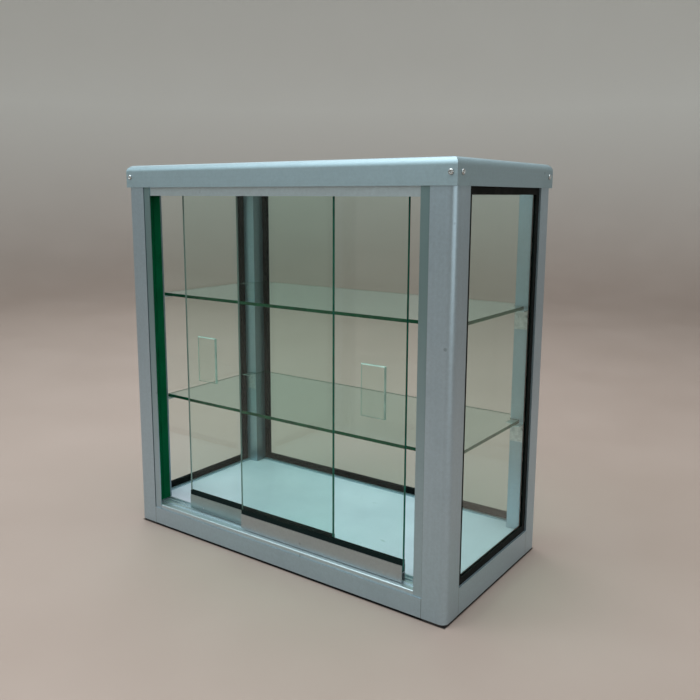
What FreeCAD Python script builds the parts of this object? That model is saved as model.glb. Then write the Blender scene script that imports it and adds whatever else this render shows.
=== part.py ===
"""Tabletop display case: an aluminium frame glazed on four sides and two sliding glass doors.

Frame of the model: millimetres, +Z up, +X to the right of someone facing the doors, doors
towards -Y.  The origin is on the table, under the middle of the case.
"""
import FreeCAD, Part
import Sketcher
import os

doc = FreeCAD.newDocument("display_case")

# ---------------------------------------------------------------- driving dimensions

DIMENSIONS = [
    # overall
    ("overall_width", 610.0),
    ("overall_depth", 305.0),
    ("case_height", 610.0),          # without the feet
    ("foot_height", 4.0),
    ("foot_inset", 1.0),
    ("foot_plug_height", 10.0),
    # corner posts
    ("post_size", 37.0),
    ("post_radius", 10.0),
    ("wall", 1.6),
    ("lip_width", 13.5),
    ("lip_thickness", 1.2),
    ("lip_recess", 1.0),
    # rails between the posts
    ("rail_depth", 18.0),
    ("rail_height", 39.0),
    ("ledge_width", 8.0),
    ("ledge_thickness", 1.5),
    ("front_rail_height", 27.5),
    ("arris_height", 0.8),
    ("top_rail_height", 25.0),
    ("spigot_length", 20.0),
    ("spigot_gap", 0.2),
    # crown cap
    ("cap_height", 35.0),
    ("cap_wall", 1.5),
    ("cap_radius", 10.0),
    ("cap_flange", 30.0),
    ("cap_screw_drop", 18.5),
    ("cap_screw_front_inset", 9.0),
    ("cap_screw_side_inset", 13.5),
    ("screw_shank", 4.0),
    ("screw_head", 8.0),
    ("screw_head_height", 2.2),
    ("screw_reach", 9.5),
    # glazing
    ("glass", 5.0),
    ("gasket_wall", 2.0),
    ("top_gasket_wall", 1.75),
    ("gasket_face", 10.0),
    ("groove_depth", 8.0),
    ("glazing_recess", 3.0),
    ("top_gasket_width", 21.0),
    ("top_pane_gap", 0.5),
    # base board
    ("board_thickness", 9.0),
    ("board_drop", 2.0),
    ("board_gap", 0.5),
    # shelves
    ("shelf_lower_height", 213.5),
    ("shelf_upper_height", 392.5),
    ("shelf_side_gap", 22.5),
    ("shelf_front_gap", 50.0),
    ("shelf_rear_gap", 1.0),
    ("shelf_notch_gap", 1.0),
    # shelf brackets
    ("bracket_height", 31.0),
    ("bracket_reach", 20.0),
    ("bracket_thickness", 1.5),
    ("bracket_inset", 1.0),
    ("bracket_pane_gap", 2.0),
    ("bracket_screw_edge", 4.0),
    ("bracket_screw_drop", 10.5),
    ("bracket_screw_shank", 3.0),
    ("bracket_screw_head", 5.6),
    ("bracket_screw_head_height", 1.6),
    ("bracket_screw_reach", 6.0),
    # tracks
    ("track_floor", 34.2),
    ("bead_height", 35.0),
    ("bead_width", 3.8),
    ("bead_gap", 1.5),
    ("bead_radius", 1.8),
    ("rib_width", 2.0),
    ("rib_height", 2.0),
    ("track_wall", 1.5),
    ("track_clearance", 1.5),
    ("top_track_height", 13.3),
    ("top_track_slot", 9.5),
    ("slot_gap", 1.0),
    # doors
    ("door_overlap", 75.0),          # of the two doors when both are shut
    ("door_inset", 10.5),
    ("door_pitch", 11.0),
    ("door_top_entry", 8.3),
    ("left_door_open", 63.5),
    ("right_door_open", 35.5),
    ("door_stop_gap", 0.5),
    ("shoe_width", 9.0),
    ("shoe_height", 24.7),
    ("shoe_wall", 1.0),
    ("shoe_lift", 1.0),
    ("shoe_web", 1.5),
    ("shoe_gasket_web", 1.5),
    ("shoe_gasket_rise", 7.0),
    ("pull_width", 40.0),
    ("pull_height", 74.0),
    ("pull_thickness", 4.0),
    ("pull_bevel", 1.2),
    ("pull_inset", 30.0),
    ("pull_centre", 300.0),
    # rollers
    ("wheel_radius", 5.0),
    ("wheel_flange", 1.0),
    ("wheel_width", 5.0),
    ("wheel_groove", 3.0),
    ("wheel_gap", 0.3),
    ("wheel_clearance", 0.7),
    ("axle_diameter", 3.0),
    ("axle_fit", 0.05),
    ("axle_inset", 30.0),
    # door buffers
    ("buffer_thickness", 1.5),
    ("buffer_width", 31.0),
]

sheet = doc.addObject("Spreadsheet::Sheet", "sizes")
for row, (alias, number) in enumerate(DIMENSIONS, start=1):
    sheet.set(f"A{row}", alias)
    sheet.set(f"B{row}", str(number))
    sheet.setAlias(f"B{row}", alias)
doc.recompute()


class Size:
    """A length that carries its spreadsheet expression along with its value."""

    def __init__(self, value, text):
        self.value = value
        self.text = text

    def combine(self, other, sign, value):
        return Size(value, f"({self.text} {sign} {as_size(other).text})")

    def __add__(self, other):
        return self.combine(other, "+", self.value + as_size(other).value)

    def __sub__(self, other):
        return self.combine(other, "-", self.value - as_size(other).value)

    def __mul__(self, factor):
        return self.combine(factor, "*", self.value * factor)

    def __truediv__(self, factor):
        return self.combine(factor, "/", self.value / factor)

    def __neg__(self):
        return Size(-self.value, f"(0 - {self.text})")


def as_size(number):
    """A Size as it is, or a plain number as a Size."""
    if isinstance(number, Size):
        return number
    return Size(float(number), f"({float(number)})")


def dim(alias):
    """The driving dimension with this alias."""
    return Size(float(sheet.get(alias)), f"sizes.{alias}")


ZERO = as_size(0)
LEFT, RIGHT = -1, 1
FRONT, REAR = -1, 1
SIDE_NAMES = {LEFT: "left", RIGHT: "right"}
END_NAMES = {FRONT: "front", REAR: "rear"}
CLOSE = 0.01             # two places nearer than this are the same place
HEAD_RIM_SHARE = 0.5     # of a pan head's height that is straight-sided
HEAD_TOP_SHARE = 0.7     # of a pan head's radius that is flat on top

# ---------------------------------------------------------------- derived places

cap_x = dim("overall_width") / 2
cap_y = dim("overall_depth") / 2
face_x = cap_x - dim("cap_wall")             # outer faces of the posts and rails
face_y = cap_y - dim("cap_wall")
post = dim("post_size")
inner_x = face_x - post                      # inner faces of the posts
inner_y = face_y - post

base_z = dim("foot_height")
rail_top = base_z + dim("rail_height")
front_rail_top = base_z + dim("front_rail_height")
case_top = base_z + dim("case_height")
cap_bottom = case_top - dim("cap_height")
top_glazing = dim("top_gasket_wall") * 2 + dim("glass")
post_top = case_top - dim("cap_wall") - top_glazing
top_rail_bottom = post_top - dim("top_rail_height")

gasket_thickness = dim("gasket_wall") * 2 + dim("glass")
groove_out = dim("glazing_recess")           # the glazing groove, from the outer face inwards
groove_in = groove_out + gasket_thickness
pane_out = groove_out + dim("gasket_wall")
pane_in = pane_out + dim("glass")
pane_bite = dim("groove_depth") - dim("gasket_wall")

front_y = -face_y
doors_depth = dim("door_inset") + dim("door_pitch") + dim("shoe_width")
front_rail_depth = doors_depth + dim("track_clearance") + dim("track_wall")
front_rail_back = front_y + front_rail_depth
lip_edge = inner_x - dim("lip_width")
lip_front = front_y + dim("lip_recess")
lip_back = lip_front + dim("lip_thickness")

board_top = rail_top - dim("board_drop")
board_bottom = board_top - dim("board_thickness")

floor_z = base_z + dim("track_floor")
rib_top = floor_z + dim("rib_height")
shoe_bottom = floor_z + dim("shoe_lift")
shoe_top = shoe_bottom + dim("shoe_height")
wheel_z = rib_top + dim("wheel_gap") + dim("wheel_radius")
web_bottom = wheel_z + dim("wheel_radius") + dim("wheel_flange") + dim("wheel_clearance")
web_top = web_bottom + dim("shoe_web")
glass_bottom = web_top + dim("shoe_gasket_web")
track_bottom = cap_bottom - dim("top_track_height")
glass_top = track_bottom + dim("door_top_entry")

right_door_y = front_y + dim("door_inset") + dim("shoe_width") / 2   # front channel
left_door_y = right_door_y + dim("door_pitch")                        # rear channel
door_stop = inner_x - dim("buffer_thickness") - dim("door_stop_gap")
door_width = door_stop + dim("door_overlap") / 2
DOOR_Y = {LEFT: left_door_y, RIGHT: right_door_y}
DOOR_LOW_X = {
    LEFT: -door_stop + dim("left_door_open"),
    RIGHT: door_stop - dim("right_door_open") - door_width,
}

nodes = []


# ---------------------------------------------------------------- building blocks

def keep(feature, label):
    """Name a finished sub-part and list it for export."""
    feature.Label = label
    nodes.append(feature)
    return feature


def from_side(side, reach, near, far):
    """The span from near to far, measured inwards from the face at reach on one side."""
    near, far = as_size(near), as_size(far)
    if side > 0:
        return reach - far, reach - near
    return near - reach, far - reach


def centred(half):
    return -half, half


def brick(name, x_span, y_span, z_span):
    """A box between two values on each axis."""
    box = doc.addObject("Part::Box", name)
    lengths = ("Length", "Width", "Height")
    for axis, length, span in zip("xyz", lengths, (x_span, y_span, z_span)):
        low, high = as_size(span[0]), as_size(span[1])
        box.setExpression(length, (high - low).text)
        box.setExpression(f"Placement.Base.{axis}", low.text)
    return box


def rod(name, radius, length, foot, direction):
    """A cylinder that starts at foot and points along direction."""
    cylinder = doc.addObject("Part::Cylinder", name)
    cylinder.setExpression("Radius", radius.text)
    cylinder.setExpression("Height", length.text)
    turn = FreeCAD.Rotation(FreeCAD.Vector(0, 0, 1), FreeCAD.Vector(*direction))
    cylinder.Placement = FreeCAD.Placement(FreeCAD.Vector(), turn)
    for axis, place in zip("xyz", foot):
        cylinder.setExpression(f"Placement.Base.{axis}", as_size(place).text)
    return cylinder


def union(name, parts):
    fuse = doc.addObject("Part::MultiFuse", name)
    fuse.Shapes = parts
    return fuse


def without(name, base, tools):
    """Base with every tool cut away."""
    cut = doc.addObject("Part::Cut", name)
    cut.Base = base
    cut.Tool = tools[0] if len(tools) == 1 else union(f"{name}_tools", tools)
    return cut


def group(name, parts):
    """Separate solids that share one node."""
    compound = doc.addObject("Part::Compound", name)
    compound.Links = parts
    return compound


def rounded(name, base, radius, picked):
    """Base with a fillet on every edge that picked(edge) accepts."""
    doc.recompute()
    fillet = doc.addObject("Part::Fillet", name)
    fillet.Base = base
    edges = enumerate(base.Shape.Edges, start=1)
    fillet.Edges = [(index, radius.value, radius.value) for index, edge in edges if picked(edge)]
    return fillet


def middle(edge):
    return edge.CenterOfMass


def draw_loop(sketch, points):
    """A closed outline whose corners are all held by sheet expressions."""
    first = sketch.GeometryCount
    count = len(points)
    for index in range(count):
        here, there = points[index], points[(index + 1) % count]
        start = FreeCAD.Vector(here[0].value, here[1].value, 0)
        end = FreeCAD.Vector(there[0].value, there[1].value, 0)
        sketch.addGeometry(Part.LineSegment(start, end), False)
    for index in range(count):
        line = first + index
        follower = first + (index + 1) % count
        sketch.addConstraint(Sketcher.Constraint("Coincident", line, 2, follower, 1))
    for index, (across, up) in enumerate(points):
        line = first + index
        for kind, place in (("DistanceX", across), ("DistanceY", up)):
            held = sketch.addConstraint(
                Sketcher.Constraint(kind, -1, 1, line, 1, place.value))
            sketch.setExpression(f"Constraints[{held}]", place.text)


def new_sketch(body, name, plane, loops):
    sketch = body.newObject("Sketcher::SketchObject", name)
    origin_plane = [item for item in body.Origin.OriginFeatures if item.Role == plane][0]
    sketch.AttachmentSupport = (origin_plane, [""])
    sketch.MapMode = "FlatFace"
    for points in loops:
        draw_loop(sketch, [(as_size(across), as_size(up)) for across, up in points])
    return sketch


def prism(name, plane, loops, length, start):
    """A profile padded along the axis square to its plane, from start."""
    body = doc.addObject("PartDesign::Body", name)
    sketch = new_sketch(body, f"{name}_profile", plane, loops)
    pad = body.newObject("PartDesign::Pad", f"{name}_pad")
    pad.Profile = sketch
    pad.setExpression("Length", length.text)
    pad.Reversed = plane == "XZ_Plane"
    sketch.Visibility = False
    axis = {"XY_Plane": "z", "XZ_Plane": "y", "YZ_Plane": "x"}[plane]
    body.setExpression(f"Placement.Base.{axis}", as_size(start).text)
    return body


def turned(name, profile, centre, direction):
    """A solid of revolution: profile is (radius, height) along direction from centre."""
    body = doc.addObject("PartDesign::Body", name)
    sketch = new_sketch(body, f"{name}_profile", "XZ_Plane", [profile])
    revolution = body.newObject("PartDesign::Revolution", f"{name}_turn")
    revolution.Profile = sketch
    revolution.ReferenceAxis = (sketch, ["V_Axis"])
    revolution.Angle = 360
    sketch.Visibility = False
    turn = FreeCAD.Rotation(FreeCAD.Vector(0, 0, 1), FreeCAD.Vector(*direction))
    body.Placement = FreeCAD.Placement(FreeCAD.Vector(), turn)
    for axis, place in zip("xyz", centre):
        body.setExpression(f"Placement.Base.{axis}", as_size(place).text)
    return body


def rectangle(low_across, high_across, low_up, high_up):
    return [
        (low_across, low_up),
        (high_across, low_up),
        (high_across, high_up),
        (low_across, high_up),
    ]


def pan_screw(name, shank, head, head_height, reach, seat, direction):
    """A pan-head screw whose head rests on seat and stands out along direction."""
    shank_radius = shank / 2
    head_radius = head / 2
    profile = [
        (ZERO, -reach),
        (shank_radius, -reach),
        (shank_radius, ZERO),
        (head_radius, ZERO),
        (head_radius, head_height * HEAD_RIM_SHARE),
        (head_radius * HEAD_TOP_SHARE, head_height),
        (ZERO, head_height),
    ]
    return turned(name, profile, seat, direction)


# ---------------------------------------------------------------- crown cap screws: places

cap_screw_z = case_top - dim("cap_screw_drop")
cap_screw_radius = dim("screw_shank") / 2


def cap_screw_places():
    """Name, seat and outward direction of each screw through the crown cap."""
    places = []
    for side in (LEFT, RIGHT):
        for end in (FRONT, REAR):
            along = (cap_x - dim("cap_screw_front_inset")) * side
            seat = (along, cap_y * end, cap_screw_z)
            places.append((f"{END_NAMES[end]}_{SIDE_NAMES[side]}_end", seat, (0, end, 0)))
            across = (cap_y - dim("cap_screw_side_inset")) * end
            seat = (cap_x * side, across, cap_screw_z)
            places.append((f"{SIDE_NAMES[side]}_{END_NAMES[end]}_side", seat, (side, 0, 0)))
    return places


def cap_screw_holes(name, wanted):
    """Drills for the cap screws whose place name wanted() accepts."""
    drills = []
    for place, seat, outward in cap_screw_places():
        if wanted(place):
            inward = tuple(-step for step in outward)
            drill = rod(f"{name}_{place}", cap_screw_radius, dim("screw_reach"), seat, inward)
            drills.append(drill)
    return drills


# ---------------------------------------------------------------- posts and feet

def make_post(side, end):
    """A hollow corner post with its glazing grooves and, in front, the door lip."""
    name = f"post_{END_NAMES[end]}_{SIDE_NAMES[side]}"
    wall = dim("wall")
    height = (base_z, post_top)
    outline = brick(
        f"{name}_outline",
        from_side(side, face_x, 0, post),
        from_side(end, face_y, 0, post),
        height)
    corner = FreeCAD.Vector(side * face_x.value, end * face_y.value, 0)

    def at_outer_corner(edge):
        point = middle(edge)
        return abs(point.x - corner.x) < CLOSE and abs(point.y - corner.y) < CLOSE

    solid = rounded(f"{name}_round", outline, dim("post_radius"), at_outer_corner)
    if end == FRONT:
        lip = brick(
            f"{name}_lip",
            from_side(side, inner_x, 0, dim("lip_width")),
            (lip_front, lip_back),
            (front_rail_top + dim("arris_height"), cap_bottom))
        solid = union(f"{name}_with_lip", [solid, lip])

    grooved = groove_in + wall
    behind_groove = post - dim("groove_depth") - wall
    core_low = wall if end == FRONT else grooved
    tools = [
        brick(f"{name}_core", from_side(side, face_x, grooved, post - wall),
              from_side(end, face_y, core_low, post - wall), height),
        brick(f"{name}_side_cell", from_side(side, face_x, wall, groove_in),
              from_side(end, face_y, grooved, behind_groove), height),
        brick(f"{name}_side_groove", from_side(side, face_x, groove_out, groove_in),
              from_side(end, face_y, post - dim("groove_depth"), post), height),
    ]
    if end == REAR:
        tools.append(brick(
            f"{name}_rear_cell", from_side(side, face_x, grooved, behind_groove),
            from_side(end, face_y, wall, groove_in), height))
        tools.append(brick(
            f"{name}_rear_groove", from_side(side, face_x, post - dim("groove_depth"), post),
            from_side(end, face_y, groove_out, groove_in), height))
    own = (f"{END_NAMES[end]}_{SIDE_NAMES[side]}_end", f"{SIDE_NAMES[side]}_{END_NAMES[end]}_side")
    tools += cap_screw_holes(f"{name}_drill", lambda place: place in own)
    tools += bracket_screw_holes(name, side, end)
    keep(without(name, solid, tools), name)


def make_foot(side, end):
    """A plug pressed into the post from below, with a flange that the case stands on."""
    name = f"foot_{END_NAMES[end]}_{SIDE_NAMES[side]}"
    inset = dim("foot_inset")
    plug_low = groove_in + dim("wall") + dim("spigot_gap")
    plug_high = post - dim("wall") - dim("spigot_gap")
    flange = brick(
        f"{name}_flange",
        from_side(side, face_x, inset, post - inset),
        from_side(end, face_y, inset, post - inset),
        (ZERO, base_z))
    corner_x = side * (face_x - inset).value
    corner_y = end * (face_y - inset).value

    def at_outer_corner(edge):
        point = middle(edge)
        return abs(point.x - corner_x) < CLOSE and abs(point.y - corner_y) < CLOSE

    flange = rounded(f"{name}_round", flange, dim("post_radius") - inset, at_outer_corner)
    plug = brick(
        f"{name}_plug",
        from_side(side, face_x, plug_low, plug_high),
        from_side(end, face_y, plug_low, plug_high),
        (base_z, base_z + dim("foot_plug_height")))
    keep(union(name, [flange, plug]), name)


# ---------------------------------------------------------------- shelf brackets: places

SHELF_UNDERSIDE = {
    "lower": base_z + dim("shelf_lower_height"),
    "upper": base_z + dim("shelf_upper_height"),
}


bracket_near = inner_x + dim("bracket_inset")
bracket_far = face_x - groove_in - dim("bracket_pane_gap")


def bracket_span(side):
    """The X span of a bracket, which sits on the inner part of its post's face."""
    if side == RIGHT:
        return bracket_near, bracket_far
    return -bracket_far, -bracket_near


def bracket_screw_places(side, end, level):
    """Seats of the two screws of one bracket, on the bracket's own face."""
    low_x, high_x = bracket_span(side)
    edge = dim("bracket_screw_edge")
    seat_y = (inner_y - dim("bracket_thickness")) * end
    seat_z = SHELF_UNDERSIDE[level] - dim("bracket_screw_drop")
    return [(low_x + edge, seat_y, seat_z), (high_x - edge, seat_y, seat_z)]


def bracket_screw_holes(name, side, end):
    """Drills for the bracket screws that go into one post."""
    drills = []
    for level in SHELF_UNDERSIDE:
        for count, seat in enumerate(bracket_screw_places(side, end, level), start=1):
            drills.append(rod(
                f"{name}_{level}_drill_{count}", dim("bracket_screw_shank") / 2,
                dim("bracket_screw_reach"), seat, (0, end, 0)))
    return drills


# ---------------------------------------------------------------- rails

def lower_rail_profile(face, outward):
    """A glazed bottom rail: groove on top, ledge for the base board inside."""
    wall = dim("wall")
    depth = dim("rail_depth")
    ledge = depth + dim("ledge_width")
    groove_bottom = rail_top - dim("groove_depth")
    outline = [
        (ZERO, base_z),
        (depth, base_z),
        (depth, board_bottom - dim("ledge_thickness")),
        (ledge, board_bottom - dim("ledge_thickness")),
        (ledge, board_bottom),
        (depth, board_bottom),
        (depth, rail_top),
        (groove_in, rail_top),
        (groove_in, groove_bottom),
        (groove_out, groove_bottom),
        (groove_out, rail_top),
        (ZERO, rail_top),
    ]
    cell = rectangle(wall, depth - wall, base_z + wall, groove_bottom - wall)
    return [facing(outline, face, outward), facing(cell, face, outward)]


def upper_rail_profile(face, outward):
    """A glazed top rail: groove underneath."""
    wall = dim("wall")
    depth = dim("rail_depth")
    groove_top = top_rail_bottom + dim("groove_depth")
    outline = [
        (ZERO, top_rail_bottom),
        (groove_out, top_rail_bottom),
        (groove_out, groove_top),
        (groove_in, groove_top),
        (groove_in, top_rail_bottom),
        (depth, top_rail_bottom),
        (depth, post_top),
        (ZERO, post_top),
    ]
    cell = rectangle(wall, depth - wall, groove_top + wall, post_top - wall)
    return [facing(outline, face, outward), facing(cell, face, outward)]


def facing(points, face, outward):
    """Profile points given as (distance inwards from the outer face, height)."""
    return [((face - as_size(inwards)) * outward, up) for inwards, up in points]


def make_glazed_rails():
    for level, profile in (("bottom", lower_rail_profile), ("top", upper_rail_profile)):
        for side in (LEFT, RIGHT):
            name = f"{level}_rail_{SIDE_NAMES[side]}"
            loops = profile(face_x, side)
            keep(prism(name, "XZ_Plane", loops, inner_y * 2, -inner_y), name)
        name = f"{level}_rail_rear"
        loops = profile(face_y, REAR)
        keep(prism(name, "YZ_Plane", loops, inner_x * 2, -inner_x), name)


def make_front_rails():
    wall = dim("wall")
    arris_back = front_y + dim("lip_recess")
    outline = [
        (front_y, base_z),
        (front_rail_back, base_z),
        (front_rail_back, front_rail_top),
        (arris_back, front_rail_top),
        (arris_back, front_rail_top + dim("arris_height")),
        (front_y, front_rail_top + dim("arris_height")),
    ]
    cell = rectangle(front_y + wall, front_rail_back - wall, base_z + wall, front_rail_top - wall)
    keep(prism("bottom_rail_front", "YZ_Plane", [outline, cell], inner_x * 2, -inner_x),
         "bottom_rail_front")
    outline = rectangle(front_y, front_rail_back, cap_bottom, post_top)
    cell = rectangle(front_y + wall, front_rail_back - wall, cap_bottom + wall, post_top - wall)
    keep(prism("top_rail_front", "YZ_Plane", [outline, cell], inner_x * 2, -inner_x),
         "top_rail_front")


def make_spigots():
    """Blocks in the ends of the hollow rails, which hold each rail to its posts."""
    wall = dim("wall") + dim("spigot_gap")
    length = dim("spigot_length")
    gap = dim("spigot_gap")
    groove_bottom = rail_top - dim("groove_depth")
    groove_top = top_rail_bottom + dim("groove_depth")
    levels = {
        "bottom": ((base_z + wall, groove_bottom - wall),
                   (base_z + wall, front_rail_top - wall)),
        "top": ((groove_top + wall, post_top - wall),
                (cap_bottom + wall, post_top - wall)),
    }
    for level, (glazed_z, front_z) in levels.items():
        blocks = []
        for side in (LEFT, RIGHT):
            for end in (FRONT, REAR):
                blocks.append(brick(
                    f"{level}_spigot_{SIDE_NAMES[side]}_{END_NAMES[end]}",
                    from_side(side, face_x, wall, dim("rail_depth") - wall),
                    from_side(end, inner_y, 0, length),
                    glazed_z))
            blocks.append(brick(
                f"{level}_spigot_rear_{SIDE_NAMES[side]}",
                from_side(side, inner_x, 0, length),
                from_side(REAR, face_y, wall, dim("rail_depth") - wall),
                glazed_z))
            blocks.append(brick(
                f"{level}_spigot_front_{SIDE_NAMES[side]}",
                from_side(side, inner_x, 0, length),
                from_side(FRONT, face_y, wall, front_rail_depth - wall - gap),
                front_z))
        keep(group(f"{level}_rail_spigots", blocks), f"{level}_rail_spigots")


# ---------------------------------------------------------------- door tracks

def make_bottom_track():
    """The double track: front bead, a floor with two ribs and a rear upstand."""
    wall = dim("track_wall")
    bead_front = front_y + dim("bead_gap")
    bead_back = bead_front + dim("bead_width")
    bead_top = base_z + dim("bead_height")
    half_rib = dim("rib_width") / 2
    outline = [
        (bead_front, front_rail_top),
        (front_rail_back, front_rail_top),
        (front_rail_back, board_top),
        (front_rail_back - wall, board_top),
        (front_rail_back - wall, floor_z),
    ]
    for centre in (left_door_y, right_door_y):
        outline += [
            (centre + half_rib, floor_z),
            (centre + half_rib, rib_top),
            (centre - half_rib, rib_top),
            (centre - half_rib, floor_z),
        ]
    outline += [(bead_back, floor_z), (bead_back, bead_top), (bead_front, bead_top)]
    cell = rectangle(bead_back, front_rail_back - wall, front_rail_top + wall, floor_z - wall)
    track = prism("bottom_track_length", "YZ_Plane", [outline, cell], inner_x * 2, -inner_x)
    bead_line = (bead_front.value, bead_top.value)

    def on_bead(edge):
        point = middle(edge)
        return abs(point.y - bead_line[0]) < CLOSE and abs(point.z - bead_line[1]) < CLOSE

    track = rounded("bottom_track_round", track, dim("bead_radius"), on_bead)
    notches = [
        brick(f"bottom_track_notch_{SIDE_NAMES[side]}",
              from_side(side, inner_x, 0, dim("lip_width")),
              (front_y, lip_back),
              (front_rail_top, bead_top))
        for side in (LEFT, RIGHT)
    ]
    keep(without("bottom_track", track, notches), "bottom_track")


def make_top_track():
    """The upper guide: two downward slots that the door glass stands in."""
    slot_half = dim("glass") / 2 + dim("slot_gap")
    slot_top = track_bottom + dim("top_track_slot")
    outline = [(lip_back, track_bottom)]
    for centre in (right_door_y, left_door_y):
        outline += [
            (centre - slot_half, track_bottom),
            (centre - slot_half, slot_top),
            (centre + slot_half, slot_top),
            (centre + slot_half, track_bottom),
        ]
    outline += [
        (front_rail_back, track_bottom),
        (front_rail_back, cap_bottom),
        (lip_back, cap_bottom),
    ]
    keep(prism("top_track", "YZ_Plane", [outline], inner_x * 2, -inner_x), "top_track")


def make_buffers():
    """Soft strips on the inner faces of the front posts, which the doors close against."""
    for side in (LEFT, RIGHT):
        name = f"door_buffer_{SIDE_NAMES[side]}"
        strip = brick(
            name,
            from_side(side, inner_x, 0, dim("buffer_thickness")),
            (lip_back, lip_back + dim("buffer_width")),
            (board_top, track_bottom))
        keep(strip, name)


# ---------------------------------------------------------------- crown cap

def make_cap():
    """Four mitred lengths of an angle whose top outer edge is round."""
    wall = dim("cap_wall")
    flange = dim("cap_flange")
    outer = brick("cap_outer", centred(cap_x), centred(cap_y), (cap_bottom, case_top))
    inner = brick("cap_inner", centred(face_x), centred(face_y), (cap_bottom, case_top - wall))

    def top_edge(height):
        return lambda edge: abs(edge.BoundBox.ZMin - height.value) < CLOSE

    outer = rounded("cap_outer_round", outer, dim("cap_radius"), top_edge(case_top))
    inner = rounded("cap_inner_round", inner, dim("cap_radius") - wall, top_edge(case_top - wall))
    window = brick("cap_window", centred(cap_x - flange), centred(cap_y - flange),
                   (cap_bottom, case_top))
    ring = without("cap_ring", outer, [inner, window])
    far_x, far_y = cap_x, cap_y
    near_x, near_y = cap_x - flange, cap_y - flange
    quarters = {
        "front": [(-far_x, -far_y), (far_x, -far_y), (near_x, -near_y), (-near_x, -near_y)],
        "rear": [(far_x, far_y), (-far_x, far_y), (-near_x, near_y), (near_x, near_y)],
        "left": [(-far_x, far_y), (-far_x, -far_y), (-near_x, -near_y), (-near_x, near_y)],
        "right": [(far_x, -far_y), (far_x, far_y), (near_x, near_y), (near_x, -near_y)],
    }
    for place, corners in quarters.items():
        name = f"cap_{place}"
        wedge = prism(f"{name}_wedge", "XY_Plane", [corners], dim("cap_height"), cap_bottom)
        length = doc.addObject("Part::MultiCommon", f"{name}_length")
        length.Shapes = [ring, wedge]
        holes = cap_screw_holes(f"{name}_drill", lambda seat, own=place: seat.startswith(own))
        keep(without(name, length, holes), name)


def make_cap_screws():
    screws = []
    for place, seat, outward in cap_screw_places():
        screws.append(pan_screw(
            f"cap_screw_{place}", dim("screw_shank"), dim("screw_head"),
            dim("screw_head_height"), dim("screw_reach"), seat, outward))
    keep(group("cap_screws", screws), "cap_screws")


# ---------------------------------------------------------------- glazing

def make_side_glazing(side):
    name = SIDE_NAMES[side]
    web = dim("gasket_wall")
    face = dim("gasket_face")
    pane_x = from_side(side, face_x, pane_out, pane_in)
    gasket_x = from_side(side, face_x, groove_out, groove_in)
    pane_y = inner_y + pane_bite
    low, high = rail_top - pane_bite, top_rail_bottom + pane_bite
    keep(brick(f"{name}_pane", pane_x, centred(pane_y), (low, high)), f"{name}_pane")
    ring = brick(f"{name}_gasket_block", gasket_x, centred(pane_y + web), (low - web, high + web))
    hole = brick(f"{name}_gasket_hole", gasket_x, centred(inner_y - face),
                 (rail_top + face, top_rail_bottom - face))
    slot = brick(f"{name}_gasket_slot", pane_x, centred(pane_y), (low, high))
    keep(without(f"{name}_gasket", ring, [hole, slot]), f"{name}_gasket")


def make_rear_glazing():
    web = dim("gasket_wall")
    face = dim("gasket_face")
    pane_y = from_side(REAR, face_y, pane_out, pane_in)
    gasket_y = from_side(REAR, face_y, groove_out, groove_in)
    pane_x = inner_x + pane_bite
    low, high = rail_top - pane_bite, top_rail_bottom + pane_bite
    keep(brick("rear_pane", centred(pane_x), pane_y, (low, high)), "rear_pane")
    ring = brick("rear_gasket_block", centred(pane_x + web), gasket_y, (low - web, high + web))
    hole = brick("rear_gasket_hole", centred(inner_x - face), gasket_y,
                 (rail_top + face, top_rail_bottom - face))
    slot = brick("rear_gasket_slot", centred(pane_x), pane_y, (low, high))
    keep(without("rear_gasket", ring, [hole, slot]), "rear_gasket")


def make_top_glazing():
    web = dim("top_gasket_wall")
    rim_x = face_x - dim("cap_radius") + dim("cap_wall") - dim("top_pane_gap")
    rim_y = face_y - dim("cap_radius") + dim("cap_wall") - dim("top_pane_gap")
    width = dim("top_gasket_width")
    top = case_top - dim("cap_wall")
    pane_z = (post_top + web, top - web)
    pane = (centred(rim_x - web), centred(rim_y - web), pane_z)
    keep(brick("top_pane", *pane), "top_pane")
    ring = brick("top_gasket_block", centred(rim_x), centred(rim_y), (post_top, top))
    hole = brick("top_gasket_hole", centred(rim_x - width), centred(rim_y - width),
                 (post_top, top))
    keep(without("top_gasket", ring, [hole, brick("top_gasket_slot", *pane)]), "top_gasket")


# ---------------------------------------------------------------- base board and shelves

def make_base_board():
    gap = dim("board_gap")
    side_x = face_x - dim("rail_depth") - gap
    rear_y = face_y - dim("rail_depth") - gap
    front_edge = front_rail_back + gap
    notch_x = inner_x - gap
    notch_y = inner_y - gap
    outline = [
        (-notch_x, front_edge),
        (notch_x, front_edge),
        (notch_x, -notch_y),
        (side_x, -notch_y),
        (side_x, notch_y),
        (notch_x, notch_y),
        (notch_x, rear_y),
        (-notch_x, rear_y),
        (-notch_x, notch_y),
        (-side_x, notch_y),
        (-side_x, -notch_y),
        (-notch_x, -notch_y),
    ]
    keep(prism("base_board", "XY_Plane", [outline], dim("board_thickness"), board_bottom),
         "base_board")


def make_shelf(level):
    """A glass shelf, notched at the back to pass the rear posts."""
    side_x = face_x - dim("shelf_side_gap")
    front_edge = front_y + dim("shelf_front_gap")
    rear_edge = face_y - groove_in - dim("shelf_rear_gap")
    notch_x = inner_x - dim("shelf_notch_gap")
    notch_y = inner_y - dim("shelf_notch_gap")
    outline = [
        (-side_x, front_edge),
        (side_x, front_edge),
        (side_x, notch_y),
        (notch_x, notch_y),
        (notch_x, rear_edge),
        (-notch_x, rear_edge),
        (-notch_x, notch_y),
        (-side_x, notch_y),
    ]
    name = f"shelf_{level}"
    keep(prism(name, "XY_Plane", [outline], dim("glass"), SHELF_UNDERSIDE[level]), name)


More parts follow.
